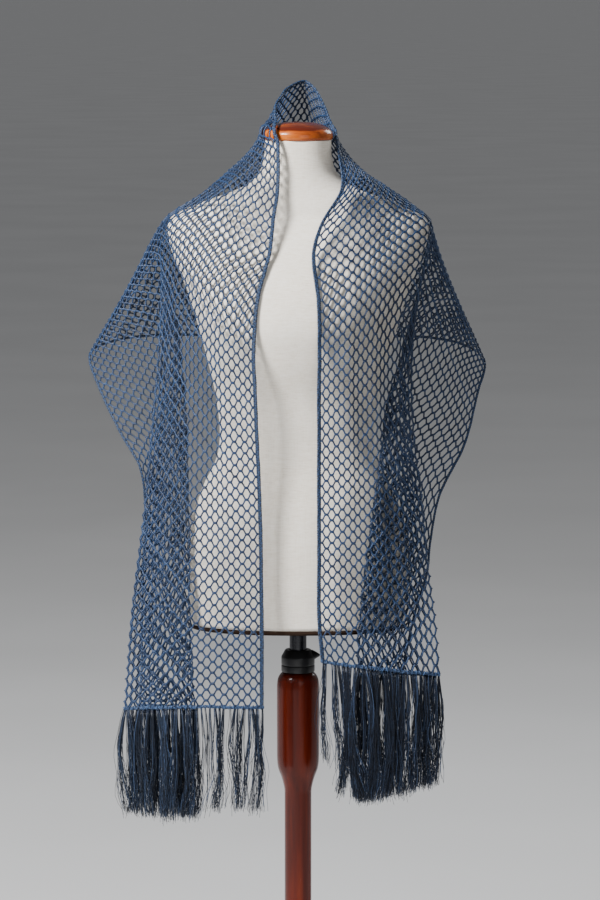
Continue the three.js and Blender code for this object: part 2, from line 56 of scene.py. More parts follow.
# ---- Cloth -----------------------------------------------------------------
# A place on the flat cloth is (s, w): s runs along the inner selvedge from the middle of the back towards
# the viewer's left, and w runs across from that selvedge. v is w as a share of the width.
CLOTH_WIDTH = 400.0
HEM_RIGHT, HEM_LEFT = -953.0, 1036.0
PANEL_AT, FOLD1_AT = 0.25, 0.5
# Each cross-run is smoothed over a width that is least at the folds and grows away from them.
FOLD_SOFTNESS, PANEL_SOFTNESS = 0.022, 0.16
SOFTENING = 0.8                  # how fast that width grows
SOFTENING_SAMPLES = 9
Stretch = namedtuple("Stretch", "node start end")
STRETCHES = (
    Stretch("shawl_front_right", HEM_RIGHT, -385),
    Stretch("shawl_shoulder_right", -385, -110),
    Stretch("shawl_back", -110, 110),
    Stretch("shawl_shoulder_left", 110, 395),
    Stretch("shawl_front_left", 395, HEM_LEFT),
)

# A row for each station along the cloth, as in the solids: where the two selvedges, the panel's middle and
# the two folds lie, and at2, the second fold's place across the width.
Row = namedtuple("Row", "s inner panel fold1 fold2 at2 outer")
BACK_ROW = Row(0, (10, 92, 1545), (8, 98, 1446), (5, 105, 1346), (3, 109, 1298), 0.62, (0, 118, 1146))
LEFT_ROWS = (
    Row(36, (-14, 66, 1536), (-24, 84, 1440), (-29, 96, 1342), (-31, 101, 1295), 0.62, (-34, 116, 1147)),
    Row(70, (-24, 35, 1524), (-50, 62, 1435), (-60, 84, 1342), (-63, 91, 1295), 0.62, (-68, 114, 1148)),
    Row(112, (-33, 0, 1505), (-74, 30, 1430), (-96, 66, 1345), (-101, 78, 1298), 0.62, (-108, 112, 1150)),
    Row(182, (-28, -52, 1458), (-96, 6, 1424), (-142, 44, 1358), (-155, 60, 1310), 0.62, (-172, 108, 1151)),
    Row(254, (-28, -66, 1387), (-104, -50, 1399), (-166, 9, 1362), (-193, 34, 1318), 0.62, (-238, 97, 1150)),
    Row(303, (-34, -82, 1341), (-125, -62, 1358), (-203, 2, 1336), (-224, 16, 1297), 0.62, (-290, 84, 1142)),
    Row(355, (-39, -98, 1295), (-136, -80, 1310), (-206, -3, 1308), (-218, 9, 1290), 0.56, (-319, 60, 1125)),
    Row(423, (-55, -115, 1233), (-144, -98, 1247), (-208, -8, 1254), (-193, 11, 1243), 0.57, (-301, 38, 1072)),
    Row(502, (-63, -122, 1155), (-150, -102, 1165), (-212, -14, 1174), (-175, 10, 1160), 0.61, (-270, 14, 1010)),
    Row(560, (-61, -124, 1097), (-148, -104, 1101), (-217, -22, 1105), (-168, 5, 1090), 0.64, (-241, 0, 962)),
    Row(640, (-58, -123, 1017), (-148, -106, 1020), (-225, -33, 1020), (-163, -8, 1010), 0.665, (-233, 0, 900)),
    Row(726, (-54, -122, 931), (-148, -112, 931), (-234, -47, 925), (-160, -40, 915), 0.69, (-236, 2, 830)),
    Row(820, (-52, -121, 837), (-148, -116, 833), (-246, -58, 828), (-158, -62, 820), 0.72, (-239, 2, 748)),
    Row(909, (-51, -120, 748), (-151, -116, 741), (-257, -68, 735), (-156, -70, 728), 0.75, (-240, -4, 672)),
    Row(1036, (-51, -118, 618), (-154, -112, 618), (-267, -78, 609), (-150, -68, 608), 0.785, (-243, -22, 603)),
)
RIGHT_ROWS = (
    Row(25, (26, 78, 1533), (21, 92, 1442), (18, 102, 1345), (18, 106, 1297), 0.62, (22, 117, 1147)),
    Row(60, (39, 50, 1509), (43, 76, 1427), (48, 93, 1340), (50, 98, 1294), 0.62, (54, 115, 1148)),
    Row(116, (50, 10, 1477), (76, 36, 1418), (90, 70, 1341), (94, 81, 1296), 0.62, (102, 112, 1149)),
    Row(170, (61, -20, 1434), (96, 8, 1420), (128, 48, 1356), (136, 63, 1308), 0.62, (150, 108, 1149)),
    Row(230, (64, -56, 1387), (110, -36, 1403), (150, 12, 1374), (178, 38, 1322), 0.62, (206, 98, 1147)),
    Row(295, (34, -84, 1337), (116, -64, 1360), (196, 2, 1338), (208, 17, 1298), 0.62, (256, 83, 1137)),
    Row(350, (20, -103, 1292), (118, -86, 1307), (196, -3, 1312), (203, 9, 1292), 0.56, (285, 60, 1117)),
    Row(420, (27, -118, 1226), (118, -112, 1240), (189, -6, 1262), (184, 13, 1250), 0.56, (274, 38, 1068)),
    Row(500, (29, -124, 1146), (112, -118, 1152), (176, -17, 1160), (157, 9, 1150), 0.59, (254, 24, 992)),
    Row(578, (28.5, -124, 1068), (112, -114, 1070), (176, -28, 1070), (129, -8, 1060), 0.64, (216, 4, 916)),
    Row(640, (28.5, -123, 1006), (112, -112, 1004), (181, -37, 1000), (120, -40, 995), 0.66, (203, 0, 852)),
    Row(715, (28.5, -122, 931), (114, -114, 928), (191, -48, 925), (107, -82, 915), 0.7, (198, 0, 800)),
    Row(820, (28.5, -121, 827), (118, -118, 824), (201, -60, 820), (93, -98, 812), 0.76, (182, -24, 752)),
    Row(900, (29, -120, 744), (119, -118, 736), (213, -70, 730), (84, -98, 722), 0.8, (168, -38, 694)),
    Row(953, (34, -118, 688), (122, -113, 674), (218, -75, 660), (82, -90, 664), 0.81, (160, -50, 662)),
)

# The form's levels: height, half width, depth to the front and to the back.
Level = namedtuple("Level", "z half front back")
FORM_LEVELS = (
    Level(728, 166, 96, 112), Level(777, 171, 99, 116), Level(838, 171, 100, 117), Level(900, 159, 97, 110),
    Level(935, 144, 93, 100), Level(972, 125, 88, 88), Level(1012, 118, 87, 78), Level(1072, 124, 93, 76),
    Level(1138, 139, 114, 80), Level(1185, 152, 125, 84), Level(1231, 166, 119, 87), Level(1275, 184, 100, 86),
    Level(1310, 195, 78, 76), Level(1332, 196, 64, 66), Level(1345, 185, 58, 61), Level(1362, 148, 55, 58),
    Level(1383, 90, 52, 56), Level(1404, 61, 50, 54), Level(1430, 51, 49, 52), Level(1456.7, 50, 49, 51),
)
FORM_POWER = 2.3                 # of the rounded cross-run: 2 would be an ellipse
CAP_LEVELS = (
    Level(1456, 53, 53, 53), Level(1470, 53.5, 53.5, 53.5), Level(1479, 45, 45, 45), Level(1486, 27, 27, 27),
)
CLEAR_FORM, CLEAR_LAYER = 3.0, 7.0   # how far the cloth lies off the form, and for each layer under it
CLEAR_BLEND = 2.2                # how softly the cloth is lifted off the form
CLEAR_FAR = 12 * CLEAR_BLEND     # past this it isn't moved at all
CLEAR_STEP = 0.5                 # for measuring the form's slope
FOLDS_FROM, FOLDS_FULL = 380.0, 460.0    # s where the folded edge begins to lie under, and where it lies full
# Where layers begin and end under the panel, as shares of the width from each fold's place.
UNDER_START, UNDER_FULL, UNDER_TURN = 0.05, 0.02, 0.01

# Soft creases: from (s, w) to (s, w), with their height and width.
CREASE_ENDS = 0.25               # how much of its height a crease keeps at its ends
Crease = namedtuple("Crease", "start end height width")
CREASES = (
    Crease((430, 60), (860, 40), 3.0, 16), Crease((520, 120), (1010, 112), 3.5, 20),
    Crease((380, 150), (640, 172), 2.6, 13), Crease((190, 60), (330, 150), 2.8, 14),
    Crease((140, 90), (300, 175), 2.0, 10), Crease((-430, 50), (-800, 58), 3.0, 15),
    Crease((-500, 110), (-930, 100), 3.4, 18), Crease((-390, 150), (-620, 160), 2.4, 12),
    Crease((-190, 70), (-320, 140), 2.8, 13), Crease((-60, 120), (-150, 360), 4.0, 22),
    Crease((70, 110), (190, 370), 4.5, 24), Crease((5, 60), (-10, 380), 3.0, 26),
    Crease((230, 240), (330, 380), 3.0, 18), Crease((-240, 230), (-330, 380), 3.0, 16),
)

# ---- Net -------------------------------------------------------------------
CELLS_ACROSS = 24
CELLS_ALONG = 116
BAND = 6.2                       # width of the worked selvedge
YARN_RADIUS = 1.3
YARN_SIDES = 5
STRAND_STEPS = 4                 # from knot to knot
KNOT_REACH = 4.6                 # how far a yarn's curve leads straight across from each knot
KNOT_LAP = 0.5                   # how far the two yarns of a knot lie apart
KNOT_SWELL = 0.6                 # how much thicker a yarn is where it is worked into a knot
UNEVEN = 0.495                   # how far knots stray from an even lattice
# The net is drawn up towards the outer selvedge: how far its rows lie behind the surface's there, at each s.
DRAWN_UP = {
    1: ((0, 0), (200, 55), (350, 96), (490, 135), (600, 160), (725, 165), (860, 115), (HEM_LEFT, 0)),
    -1: ((0, 0), (200, 50), (350, 92), (480, 128), (600, 152), (725, 142), (840, 80), (-HEM_RIGHT, 0)),
}
DRAWN_FROM, DRAWN_POWER = 0.5, 1.15  # from which share of the width, and how it grows from there
# Its columns are wider beside the inner selvedge than beside the outer one: by how much, at each s.
WIDENED = ((HEM_RIGHT, -420, 60, HEM_LEFT), (15, 15, 5, 7))
NAPE_GATHER, NAPE_ALONG, NAPE_ACROSS = 0.48, 80.0, 85.0   # it is gathered at the nape
NAPE_NARROWING = 0.8             # how much its selvedge is drawn together there


def hermite(stations, values, at):
    """Smooth values through unevenly spaced stations; values is (n, k) and the result (len(at), k)."""
    stations = np.asarray(stations, float)
    values = np.asarray(values, float)
    last = len(stations) - 1
    low = np.maximum(np.arange(last + 1) - 1, 0)
    high = np.minimum(np.arange(last + 1) + 1, last)
    slopes = (values[high] - values[low]) / (stations[high] - stations[low])[:, None]
    i = np.clip(np.searchsorted(stations, at, side="left") - 1, 0, last - 1)
    span = stations[i + 1] - stations[i]
    t = np.clip((at - stations[i]) / span, 0, 1)[:, None]
    span = span[:, None]
    t2, t3 = t * t, t * t * t
    return ((2 * t3 - 3 * t2 + 1) * values[i] + (t3 - 2 * t2 + t) * span * slopes[i]
            + (3 * t2 - 2 * t3) * values[i + 1] + (t3 - t2) * span * slopes[i + 1])


def side_table(rows, other):
    """One side's stations and corners, with the other side's first row before the middle of the back."""
    table = (other[0]._replace(s=-other[0].s), BACK_ROW) + rows
    stations = [row.s for row in table]
    corners = [row.inner + row.panel + row.fold1 + row.fold2 + row.outer for row in table]
    at2 = [[row.at2] for row in table[1:]]
    return stations, np.array(corners, float), at2


SIDES = {1: side_table(LEFT_ROWS, RIGHT_ROWS), -1: side_table(RIGHT_ROWS, LEFT_ROWS)}


def rows_at(s):
    """The five corners of the cloth's cross-run at each s, and where they lie across its width."""
    corners = np.empty((len(s), 5, 3))
    stops = np.empty((len(s), 5))
    stops[:] = (0, PANEL_AT, FOLD1_AT, 0, 1)
    for sign, (stations, places, at2) in SIDES.items():
        here = (s >= 0) if sign > 0 else (s < 0)
        far = np.abs(s[here])
        corners[here] = hermite(stations, places, far).reshape(-1, 5, 3)
        stops[here, 3] = hermite(stations[1:], at2, far)[:, 0]
    return corners, stops


def along_rows(corners, stops, v):
    """Places at v on the straight lines between the corners of each cross-run."""
    segment = np.clip((v[:, None] > stops).sum(1) - 1, 0, 3)
    each = np.arange(len(v))
    low, high = stops[each, segment], stops[each, segment + 1]
    t = ((v - low) / (high - low))[:, None]
    return corners[each, segment] * (1 - t) + corners[each, segment + 1] * t


DRAPED = FORM_LEVELS[:-1] + CAP_LEVELS


def form_value(p):
    """Below 0 inside the form and its cap, 0 on them and above 0 outside."""
    z = np.clip(p[:, 2], DRAPED[0].z, DRAPED[-1].z)
    half, front, back = hermite([row.z for row in DRAPED], [row[1:] for row in DRAPED], z).T
    depth = np.where(p[:, 1] < 0, front, back)
    across, deep = np.abs(p[:, 0] / half), np.abs(p[:, 1] / depth)
    return (across ** FORM_POWER + deep ** FORM_POWER) ** (1 / FORM_POWER) - 1


def layers_under(v, at2, s):
    """How many layers of the folded cloth lie between a place and the form."""
    edge = FOLD1_AT - (at2 - FOLD1_AT)
    places = np.stack([
        edge - UNDER_START, edge + UNDER_FULL, np.full_like(v, FOLD1_AT - UNDER_TURN),
        np.full_like(v, FOLD1_AT + UNDER_TURN), at2 - UNDER_TURN, at2 + UNDER_TURN], 1)
    layers = np.array([0, 2, 2, 1, 1, 0], float)
    segment = np.clip((v[:, None] > places).sum(1) - 1, 0, 4)
    each = np.arange(len(v))
    low, high = places[each, segment], places[each, segment + 1]
    t = np.clip((v - low) / (high - low), 0, 1)
    found = layers[segment] * (1 - t) + layers[segment + 1] * t
    found[v > at2 + UNDER_TURN] = 0
    return found * np.clip((np.abs(s) - FOLDS_FROM) / (FOLDS_FULL - FOLDS_FROM), 0, 1)


def clear_of_form(p, margin):
    """Moves points out along the form's own normal until they are clear of it."""
    value = form_value(p)
    slope = np.stack([(form_value(p + CLEAR_STEP * axis) - value) / CLEAR_STEP for axis in np.eye(3)], 1)
    steep = np.linalg.norm(slope, axis=1)
    short = margin - value / steep
    push = (short + np.hypot(short, CLEAR_BLEND)) / 2
    push[short < -CLEAR_FAR] = 0
    return p + slope / steep[:, None] * push[:, None]


def drape(s, v):
    """The cloth's middle surface at s along and v across, before its creases."""
    corners, stops = rows_at(s)
    to_fold = np.minimum(np.abs(v - FOLD1_AT), np.abs(v - stops[:, 3]))
    half = np.minimum.reduce([FOLD_SOFTNESS + SOFTENING * to_fold, np.full_like(v, PANEL_SOFTNESS), v, 1 - v])
    offsets = np.linspace(-1, 1, SOFTENING_SAMPLES)
    total = sum(along_rows(corners, stops, v + half * offset) for offset in offsets) / len(offsets)
    return clear_of_form(total, CLEAR_FORM + CLEAR_LAYER * layers_under(v, stops[:, 3], s))


def unit(vectors):
    return vectors / np.maximum(np.linalg.norm(vectors, axis=-1, keepdims=True), 1e-9)


def crease_height(s, v):
    """How far the creases lift the cloth outwards."""
    w = v * CLOTH_WIDTH
    height = np.zeros_like(s)
    for crease in CREASES:
        start, run = np.array(crease.start, float), np.subtract(crease.end, crease.start).astype(float)
        t = np.clip(((s - start[0]) * run[0] + (w - start[1]) * run[1]) / (run @ run), 0, 1)
        away = np.hypot(s - start[0] - t * run[0], w - start[1] - t * run[1])
        strength = CREASE_ENDS + (1 - CREASE_ENDS) * np.sin(math.pi * t)
        height += crease.height * np.exp(-(away / crease.width) ** 2) * strength
    return height


def cloth(s, v):
    """Points on the creased cloth, the direction into the form, and the directions along and across."""
    s, v = np.broadcast_arrays(np.asarray(s, float), np.asarray(v, float))
    shape = s.shape
    s, v = s.ravel(), np.clip(v.ravel(), 0, 1)
    inside = np.clip(s, HEM_RIGHT, HEM_LEFT)
    ds, dv = 1.5, 0.004
    at = drape(inside, v)
    along = drape(inside + ds, v) - drape(inside - ds, v)
    across = drape(inside, np.minimum(v + dv, 1)) - drape(inside, np.maximum(v - dv, 0))
    along, across = unit(along), unit(across)
    inward = unit(np.cross(along, across))
    at = at - inward * crease_height(s, v)[:, None] + along * (s - inside)[:, None]
    return tuple(part.reshape(shape + (3,)) for part in (at, inward, along, across))


# ---- Meshes ----------------------------------------------------------------
def mesh_object(name, points, faces, body, node=None, slot=None, smooth=True, uvs=None, shade=None):
    """faces is a list of (n, corners) index arrays; uvs the matching (n, corners, 2) arrays."""
    mesh = bpy.data.meshes.new(name)
    points = np.asarray(points, float).reshape(-1, 3) * MM
    loops = np.concatenate([face.ravel() for face in faces])
    totals = np.concatenate([np.full(len(face), face.shape[1]) for face in faces])
    mesh.vertices.add(len(points))
    mesh.vertices.foreach_set("co", points.ravel())
    mesh.loops.add(len(loops))
    mesh.loops.foreach_set("vertex_index", loops.astype(np.int32))
    mesh.polygons.add(len(totals))
    mesh.polygons.foreach_set("loop_start", np.concatenate([[0], np.cumsum(totals)[:-1]]).astype(np.int32))
    mesh.polygons.foreach_set("loop_total", totals.astype(np.int32))
    mesh.polygons.foreach_set("use_smooth", np.full(len(totals), smooth))
    if uvs is not None:
        layer = mesh.uv_layers.new(name="yarn")
        layer.data.foreach_set("uv", np.concatenate([uv.reshape(-1, 2) for uv in uvs]).ravel())
    if shade is not None:
        mesh.attributes.new("shade", "FLOAT", "POINT").data.foreach_set("value", np.asarray(shade, float))
    mesh.update(calc_edges=True)
    mesh.validate()
    piece = bpy.data.objects.new(name, mesh)
    scene.collection.objects.link(piece)
    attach(piece, body)
    if node:
        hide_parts(node)
    return piece


def tubes(name, paths, ups, radii, sides, body, shades=None, **where):
    """Closed round yarns along paths. A uv map runs along each in mm and once round it."""
    counts = np.array([len(path) for path in paths])
    ends = np.cumsum(counts)
    starts = ends - counts
    at, up = np.concatenate(paths), np.concatenate(ups)
    radius = np.concatenate([np.broadcast_to(r, n) for r, n in zip(radii, counts)])
    ahead = np.minimum(np.arange(len(at)) + 1, np.repeat(ends - 1, counts))
    behind = np.maximum(np.arange(len(at)) - 1, np.repeat(starts, counts))
    run = unit(at[ahead] - at[behind])
    side = unit(np.cross(run, up))
    up = np.cross(side, run)
    turn = np.arange(sides) * (2 * math.pi / sides)
    ring = np.cos(turn)[None, :, None] * up[:, None, :] + np.sin(turn)[None, :, None] * side[:, None, :]
    points = at[:, None, :] + radius[:, None, None] * ring
    first = np.delete(np.arange(len(at)), ends - 1)
    k = np.arange(sides)
    a, b = first[:, None] * sides + k, first[:, None] * sides + (k + 1) % sides
    walls = np.stack([a, b, b + sides, a + sides], 2).reshape(-1, 4)
    caps = np.concatenate([starts[:, None] * sides + k[::-1], (ends - 1)[:, None] * sides + k])
    step = np.linalg.norm(at - at[behind], axis=1)
    length = np.cumsum(step)
    length -= np.repeat(length[starts], counts)
    u0, u1 = length[first][:, None], length[first + 1][:, None]
    v0, v1 = np.broadcast_to(k / sides, a.shape), np.broadcast_to((k + 1) / sides, a.shape)
    u0, u1 = np.broadcast_to(u0, a.shape), np.broadcast_to(u1, a.shape)
    wall_uv = np.stack([np.stack([u0, v0], 2), np.stack([u0, v1], 2), np.stack([u1, v1], 2),
                        np.stack([u1, v0], 2)], 2).reshape(-1, 4, 2)
    shade = None
    if shades is not None:
        along = np.concatenate([np.broadcast_to(each, n) for each, n in zip(shades, counts)])
        shade = np.repeat(along, sides)
    return mesh_object(name, points, [walls, caps], body, uvs=[wall_uv, np.zeros(caps.shape + (2,))],
                       shade=shade, **where)


def loft(name, rings, body, **where):
    """A closed body through rings of equal length, with a flat face at each end."""
    rings = np.asarray(rings, float)
    count, size = rings.shape[:2]
    i, j = np.meshgrid(np.arange(count - 1), np.arange(size), indexing="ij")
    a, b = i * size + j, i * size + (j + 1) % size
    walls = np.stack([a, b, b + size, a + size], 2).reshape(-1, 4)
    k = np.arange(size)
    caps = np.stack([k[::-1], (count - 1) * size + k])
    return mesh_object(name, rings, [walls, caps], body, **where)


def filleted(profile, radius, steps=4):
    """The profile with each inner corner rounded by a short curve."""
    profile = np.asarray(profile, float)
    out = [profile[0]]
    for before, corner, after in zip(profile, profile[1:], profile[2:]):
        back, on = before - corner, after - corner
        reach = min(radius, 0.45 * np.linalg.norm(back), 0.45 * np.linalg.norm(on))
        start, end = corner + back / np.linalg.norm(back) * reach, corner + on / np.linalg.norm(on) * reach
        for t in np.linspace(0, 1, steps):
            out.append((1 - t) ** 2 * start + 2 * t * (1 - t) * corner + t * t * end)
    out.append(profile[-1])
    return np.array(out)


def lathe(name, profile, body, fillet=1.5, sides=96, axis="z", centre=(0, 0, 0), **where):
    """A turned body. The profile is (radius, height) from the axis to the axis."""
    outline = filleted(profile, fillet)
    turn = np.arange(sides) * (2 * math.pi / sides)
    rings = []
    for radius, height in outline[1:-1]:
        x, y = radius * np.cos(turn), radius * np.sin(turn)
        flat = np.full_like(x, height)
        ring = np.stack([x, y, flat], 1) if axis == "z" else np.stack([flat, x, y], 1)
        rings.append(ring + np.asarray(centre, float))
    return loft(name, rings, body, **where)


# ---- Net, selvedges, hems and fringe ---------------------------------------
ROWS_ALONG = 2 * CELLS_ALONG
COLUMNS = 2 * CELLS_ACROSS
ROW_STEP = (HEM_LEFT - HEM_RIGHT) / ROWS_ALONG
COLUMN_STEP = (CLOTH_WIDTH - 2 * BAND) / COLUMNS


def strand_steps():
    """From knot to knot: straight across at each knot and slanting between, as (along, across) shares."""
    t = np.arange(STRAND_STEPS) / STRAND_STEPS
    reach = KNOT_REACH / COLUMN_STEP
    along = 3 * t ** 2 - 2 * t ** 3
    across = 3 * t * (1 - t) ** 2 * reach + 3 * t ** 2 * (1 - t) * (1 - reach) + t ** 3
    return along, across


def yarn_routes():
    """Each yarn of the cloth as its slant and its lattice places (row, column)."""
    for slant in (1, -1):
        near, far = (0, COLUMNS) if slant > 0 else (COLUMNS, 0)
        starts = [(0, j) for j in range(0, COLUMNS + 1, 2) if j != far]
        starts += [(i, near) for i in range(1, ROWS_ALONG) if (i + near) % 2 == 0]
        for i, j in starts:
            count = min(ROWS_ALONG - i, abs(far - j))
            yield slant, [(i + n, j + slant * n) for n in range(count + 1)]


def stray(i, j, seed):
    """A small, repeatable, smooth unevenness of the lattice."""
    return (np.sin(i * 0.23 + seed * 1.7 + 0.9 * np.sin(j * 0.31 + seed))
            + 0.7 * np.sin(j * 0.47 + i * 0.11 + seed * 2.3) + 0.6 * np.sin(i * 1.9 + j * 2.7 + seed))


def drawn_up(s, w):
    """Where on the surface a place of the flat net lies."""
    t = np.clip((w / CLOTH_WIDTH - DRAWN_FROM) / (1 - DRAWN_FROM), 0, 1)
    shift = np.zeros_like(s)
    for sign, table in DRAWN_UP.items():
        here = (s >= 0) if sign > 0 else (s < 0)
        far, most = zip(*table)
        shift[here] = sign * hermite(far, [[value] for value in most], np.abs(s[here]))[:, 0]
    s = s - shift * t ** DRAWN_POWER
    gathered = NAPE_GATHER * np.exp(-(s / NAPE_ALONG) ** 2 - (w / NAPE_ACROSS) ** 2)
    widened = np.interp(s, *WIDENED) * np.sin(math.pi * w / CLOTH_WIDTH)
    return s * (1 - gathered), w * (1 - gathered) + widened


def net_pieces(random):
    """All the yarns of the cloth, cut where one stretch ends and the next begins."""
    along, across = strand_steps()
    borders = [stretch.start for stretch in STRETCHES[1:]]
    cut = [[] for _ in STRETCHES]
    for slant, places in yarn_routes():
        i, j = np.array(places, float).T
        free = (i > 0) & (i < ROWS_ALONG)
        knot_s = HEM_RIGHT + i * ROW_STEP + UNEVEN * stray(i, j, 1) * free
        knot_w = BAND + j * COLUMN_STEP + UNEVEN * stray(i, j, 4) * np.sin(math.pi * j / COLUMNS) * free
        s = np.append((knot_s[:-1, None] + along * np.diff(knot_s)[:, None]).ravel(), knot_s[-1])
        w = np.append((knot_w[:-1, None] + across * np.diff(knot_w)[:, None]).ravel(), knot_w[-1])
        s, w = drawn_up(s, w)
        phase = np.arange(len(s)) * (math.pi / STRAND_STEPS)
        at_knot = np.cos(phase) ** 4
        lift = slant * KNOT_LAP * at_knot
        radius = YARN_RADIUS * (1 + KNOT_SWELL * at_knot)
        shade = random.uniform(0, 1)
        owner = np.searchsorted(borders, s)
        edges = [0, *(np.flatnonzero(np.diff(owner)) + 1), len(s) - 1]
        for a, b in zip(edges, edges[1:]):
            if b > a:
                cut[owner[a]].append((s[a:b + 1], w[a:b + 1], lift[a:b + 1], radius[a:b + 1], shade))
    for stretch, yarns in zip(STRETCHES, cut):
        s, w, lift, radius, shade = zip(*yarns)
        at, inward, _, _ = cloth(np.concatenate(s), np.concatenate(w) / CLOTH_WIDTH)
        at = at + inward * np.concatenate(lift)[:, None]
        cuts = np.cumsum([len(part) for part in s])[:-1]
        yield stretch, tubes(stretch.node + "_net", np.split(at, cuts), np.split(inward, cuts), radius,
                             YARN_SIDES, "form", shades=shade, node=stretch.node, slot="net")


Plait = namedtuple("Plait", "radius swing lift pitch step sides unevenness")
INNER = Plait(radius=1.35, swing=2.3, lift=0.9, pitch=7.6, step=1.3, sides=5, unevenness=0.3)
OUTER = Plait(radius=1.15, swing=1.5, lift=0.7, pitch=7.6, step=1.5, sides=5, unevenness=0.4)
HEM = Plait(radius=1.15, swing=1.5, lift=0.9, pitch=8.6, step=1.2, sides=6, unevenness=0.9)


def plait(name, centre, sideways, inward, kind, length, slot, spread=1.0):
    """Three yarns worked over and under each other along a centre line that is already finely stepped."""
    run = np.linspace(0, length, len(centre))
    paths = []
    # A small, repeatable unevenness, like that of handwork.
    slow = run / 23 + 1.1 * np.sin(run / 9.7)
    wander = 0.7 * np.sin(slow) + 0.35 * np.sin(run / 3.9 + 2)
    centre = centre + sideways * (wander * kind.unevenness)[:, None]
    for third in range(3):
        phase = 2 * math.pi * (run / kind.pitch + third / 3)
        paths.append(centre + sideways * (spread * kind.swing * np.sin(phase))[:, None]
                     + inward * (kind.lift * np.sin(2 * phase))[:, None])
    return tubes(name, paths, [inward] * 3, [kind.radius] * 3, kind.sides, "form",
                 shades=np.array([0.0, 0.45, 1.0]), slot=slot)


def selvedge(stretch, outer):
    kind = OUTER if outer else INNER
    length = stretch.end - stretch.start
    s = np.linspace(stretch.start, stretch.end, int(length / kind.step))
    w = CLOTH_WIDTH - BAND / 2 if outer else BAND / 2
    at, inward, _, across = cloth(s, np.full_like(s, w / CLOTH_WIDTH))
    name = stretch.node + ("_outer" if outer else "_inner") + "_selvedge"
    spread = 1 - NAPE_NARROWING * np.exp(-(s / NAPE_ALONG) ** 2)
    return plait(name, at, across, inward, kind, length, "net", spread)


# Lengths of the fringe across the width, how full its locks are there, and where they part.
End = namedtuple("End", "node stretch s way lengths fullness parting_x parting_width parting_reach")
ENDS = (
    End("fringe_left", "shawl_front_left", HEM_LEFT, 1,
        ((0, 157), (0.14, 152), (0.3, 168), (0.5, 158), (0.8, 164), (1, 150)),
        ((0, 0.9), (0.1, 0.9), (0.115, 0.1), (0.142, 0.1), (0.15, 1.0), (0.17, 1.0), (0.18, 0.35),
         (0.24, 0.4), (0.27, 1.0), (1, 1.0)), -97, 12, 22),
    End("fringe_right", "shawl_front_right", HEM_RIGHT, -1,
        ((0, 148), (0.05, 154), (0.08, 194), (0.28, 196), (0.42, 172), (0.5, 166), (0.8, 190), (1, 176)),
        ((0, 0.6), (0.04, 0.5), (0.05, 0.15), (0.07, 1.9), (0.14, 1.9), (0.2, 1.1), (1, 1.0)), 50, 6, 20),
)
HEM_DROP, KNOT_DROP, ROOT_DROP = 1.2, 1.4, 2.2   # how far past the cloth's end each of these lies
LOOP_DEPTH, LOOP_REACH, LOOP_SLANT = 2.3, 2.9, 1.6   # the loop that ties each lock over the hem
LOOP_RADIUS, LOOP_SIDES, LOOP_STEPS = 0.8, 5, 13
LOCKS = 60
STRANDS = 24                     # in a lock of ordinary fullness
FRINGE_RADIUS, FRINGE_TAPER = 0.42, 0.35
FRINGE_SIDES, FRINGE_STEPS = 3, 14
# What is drawn for each lock. A spread is a normal draw's; two of them are across and in depth.
LOCK_JITTER = 0.25               # in lock spacings
LOCK_FULLNESS = (0.75, 1.25)
CLUMP_CHANCE = 0.3               # that a new clump of locks begins at a lock
CLUMP_PULL, MIDDLE_PULL = 0.6, 0.055     # how far a lock leans towards its clump and towards the middle
LEAN_SPREAD, BOW_SPREAD = (4.2, 1.8), (4.6, 1.4)
CURL, CURL_TURNS = 2.0, 9        # the locks' own wave
# What is drawn for each strand.
STRAY_CHANCE, STRAY_SHORTER, STRAY_DRIFT, STRAY_SHADE = 0.025, (10, 60), 7, 1.6
REACH_MEAN, REACH_SPREAD = -1, 4.5       # longer than its lock
LOOSE_CHANCE, LOOSE_SPREAD = 0.26, 2.8
OFF_SPREAD, OFF_LEAST, OFF_MOST = 2.3, 0.5, (8, 2.2)     # from the lock's middle
SWAY_SPREAD, SWAY_TURNS, SWAY_DEPTH, SWAY_DEPTH_TURNS = 1.7, (9, 21), 0.6, 5.1
DRIFT_SPREAD = 3.4
# Painted glints: the share of strands painted lighter towards their tips, and by how much.
GLINT_CHANCE, GLINT = 0.12, 0.9


def hem_frame(end, v, drop):
    """Places just past the end of the cloth, with the directions in, down and across."""
    at, inward, along, across = cloth(np.full_like(v, end.s + end.way * drop), v)
    return at, inward, along * end.way, across


def hem_piece(end):
    v = np.linspace(0, 1, int(CLOTH_WIDTH / HEM.step))
    at, inward, down, _ = hem_frame(end, v, HEM_DROP)
    return plait(end.node.replace("fringe", "hem"), at, down, inward, HEM, CLOTH_WIDTH, "net")


